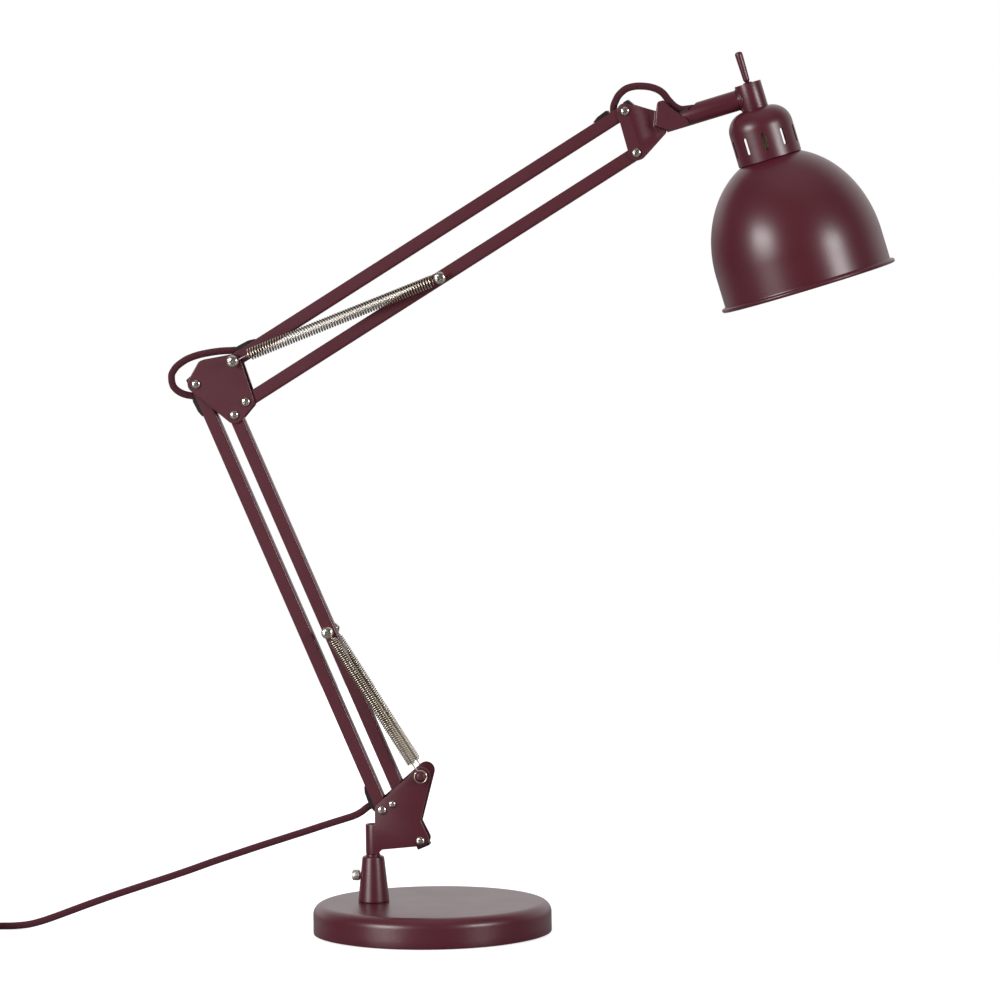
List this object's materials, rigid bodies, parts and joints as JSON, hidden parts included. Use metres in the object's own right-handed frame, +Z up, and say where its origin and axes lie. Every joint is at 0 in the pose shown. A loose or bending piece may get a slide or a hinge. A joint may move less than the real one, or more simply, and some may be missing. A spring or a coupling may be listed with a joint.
{
  "type": "desk lamp",
  "caption": "Architect desk lamp with a weighted round base, two spring-balanced parallelogram arms and a vented bell-shaped metal shade.",
  "frame": {"origin": "centre of the base's underside, on the surface that the lamp stands on", "axes": "+Z up; +X from the post's side of the base towards the shade, in the plane of the arms; -Y is the front"},
  "size_m": [0.8642, 0.2, 0.7348],
  "materials": {
    "paint": "satin powder coat",
    "shade_paint": "satin powder coat",
    "cast_iron": "rough cast",
    "nickel": "bright nickel plate",
    "spring_steel": "nickel-plated wire",
    "black_plastic": "moulded",
    "rubber": "matt",
    "plug_plastic": "fine textured",
    "cord_textile": "braided textile sleeve",
    "lampholder_plastic": "moulded thermoset"
  },
  "bodies": {
    "base": {"base_cover": "paint", "base_weight": "cast_iron", "base_pad": "rubber", "post_socket": "paint", "socket_screw": "nickel", "mains_cord": "cord_textile", "mains_cord_coil": "cord_textile", "mains_plug": "plug_plastic"},
    "clamp": {"thumb_screw": "nickel"},
    "post": {"post_bracket": "paint", "screw_lower_rear_foot": "nickel", "screw_lower_front_foot": "nickel", "stop_screw": "nickel"},
    "lower_rear_arm": {"lower_rear_bar": "paint", "lower_rear_plug_foot": "black_plastic", "lower_rear_plug_end": "black_plastic", "cord_clip_lower_foot": "black_plastic", "cord_clip_lower_end": "black_plastic", "cord_in_lower_bar": "cord_textile"},
    "lower_front_arm": {"lower_front_bar": "paint", "lower_front_plug_foot": "black_plastic", "lower_front_plug_end": "black_plastic", "lower_spring_screw": "nickel"},
    "lower_springs": {"lower_spring_front": "spring_steel", "lower_spring_rear": "spring_steel"},
    "lower_spring_ends": {"lower_spring_eye_front": "spring_steel", "lower_spring_eye_rear": "spring_steel"},
    "elbow": {"elbow_front_plate": "paint", "elbow_rear_plate": "paint", "screw_lower_rear_top": "nickel", "screw_lower_front_top": "nickel", "screw_upper_bottom_foot": "nickel", "screw_upper_top_foot": "nickel", "cord_elbow_loop": "cord_textile"},
    "upper_top_arm": {"upper_top_bar": "paint", "upper_top_plug_foot": "black_plastic", "upper_top_plug_end": "black_plastic", "cord_clip_upper_foot": "black_plastic", "cord_clip_upper_end": "black_plastic", "cord_in_upper_bar": "cord_textile"},
    "upper_bottom_arm": {"upper_bottom_bar": "paint", "upper_bottom_plug_foot": "black_plastic", "upper_bottom_plug_end": "black_plastic", "upper_spring_screw": "nickel"},
    "upper_springs": {"upper_spring_front": "spring_steel", "upper_spring_rear": "spring_steel"},
    "upper_spring_ends": {"upper_spring_eye_front": "spring_steel", "upper_spring_eye_rear": "spring_steel"},
    "head": {"head_bracket": "paint", "tube_grommet": "rubber", "screw_upper_top_end": "nickel", "screw_upper_bottom_end": "nickel", "cord_head_loop": "cord_textile"},
    "shade_head": {"head_collar": "paint", "switch_body": "black_plastic", "shade_cap": "paint", "shade": "shade_paint", "lampholder": "lampholder_plastic"},
    "toggle": {"switch_lever": "paint"}
  },
  "joints": [
    {"name": "clamp_turn", "type": "hinge", "parent": "base", "child": "clamp", "pos_m": [-0.0672, 0, 0.0483], "axis": [1, 0, 0], "range_deg": [0, 360]},
    {"name": "post_swivel", "type": "hinge", "parent": "base", "child": "post", "pos_m": [-0.0495, 0, 0.0483], "axis": [0, 0, 1], "range_deg": [-170, 170], "deforming": ["mains_cord"]},
    {"name": "lower_swing", "type": "hinge", "parent": "post", "child": "lower_rear_arm", "pos_m": [-0.0404, 0, 0.10425], "axis": [0, 1, 0], "range_deg": [-2.5, 33]},
    {"name": "lower_front_follow", "type": "hinge", "parent": "post", "child": "lower_front_arm", "pos_m": [-0.0083, 0, 0.07835], "axis": [0, 1, 0], "range_deg": [-2.8, 33.3]},
    {"name": "elbow_level", "type": "hinge", "parent": "lower_rear_arm", "child": "elbow", "pos_m": [-0.19239, 0, 0.46233], "axis": [0, 1, 0], "range_deg": [-33.3, 2.8]},
    {"name": "upper_swing", "type": "hinge", "parent": "elbow", "child": "upper_top_arm", "pos_m": [-0.15969, 0, 0.48188], "axis": [0, 1, 0], "range_deg": [-30, 30], "deforming": ["cord_elbow_loop"]},
    {"name": "upper_bottom_follow", "type": "hinge", "parent": "elbow", "child": "upper_bottom_arm", "pos_m": [-0.15039, 0, 0.44748], "axis": [0, 1, 0], "range_deg": [-30.3, 30.3]},
    {"name": "head_level", "type": "hinge", "parent": "upper_top_arm", "child": "head", "pos_m": [0.17091, 0, 0.68686], "axis": [0, 1, 0], "range_deg": [-30.3, 30.3], "deforming": ["cord_head_loop"]},
    {"name": "head_roll", "type": "hinge", "parent": "head", "child": "shade_head", "pos_m": [0.27511, 0, 0.69786], "axis": [0.9598, 0, 0.2807], "range_deg": [-90, 90]},
    {"name": "switch_toggle", "type": "hinge", "parent": "shade_head", "child": "toggle", "pos_m": [0.2722, 0, 0.70784], "axis": [0.9598, 0, 0.2807], "range_deg": [-12, 12]},
    {"name": "lower_spring_swing", "type": "hinge", "parent": "post", "child": "lower_springs", "pos_m": [-0.0065, 0, 0.1331], "axis": [0, 1, 0], "range_deg": [-3.72, 45.51], "deforming": ["lower_spring_front", "lower_spring_rear"]},
    {"name": "lower_spring_stretch", "type": "slide", "parent": "lower_springs", "child": "lower_spring_ends", "axis": [-0.5336, 0, 0.8457], "range_m": [-0.00946, 0.00099], "deforming": ["lower_spring_eye_front", "lower_spring_eye_rear"]},
    {"name": "upper_spring_swing", "type": "hinge", "parent": "elbow", "child": "upper_springs", "pos_m": [-0.15969, 0, 0.48188], "axis": [0, 1, 0], "range_deg": [-30.99, 30.99], "deforming": ["upper_spring_front", "upper_spring_rear"]},
    {"name": "upper_spring_stretch", "type": "slide", "parent": "upper_springs", "child": "upper_spring_ends", "axis": [0.9313, 0, 0.3642], "range_m": [-0.0183, 0.0183], "deforming": ["upper_spring_eye_front", "upper_spring_eye_rear"]}
  ],
  "couplings": [
    {"joint": "lower_front_follow", "follows": "lower_swing", "ratio": 1},
    {"joint": "elbow_level", "follows": "lower_swing", "ratio": -1},
    {"joint": "upper_bottom_follow", "follows": "upper_swing", "ratio": 1},
    {"joint": "head_level", "follows": "upper_swing", "ratio": -1},
    {"joint": "lower_spring_swing", "follows": "lower_swing", "ratio": 1.3699},
    {"joint": "lower_spring_stretch", "follows": "lower_swing", "m_per_rad": -0.0159},
    {"joint": "upper_spring_swing", "follows": "upper_swing", "ratio": 1.0229},
    {"joint": "upper_spring_stretch", "follows": "upper_swing", "m_per_rad": 0.03437}
  ]
}
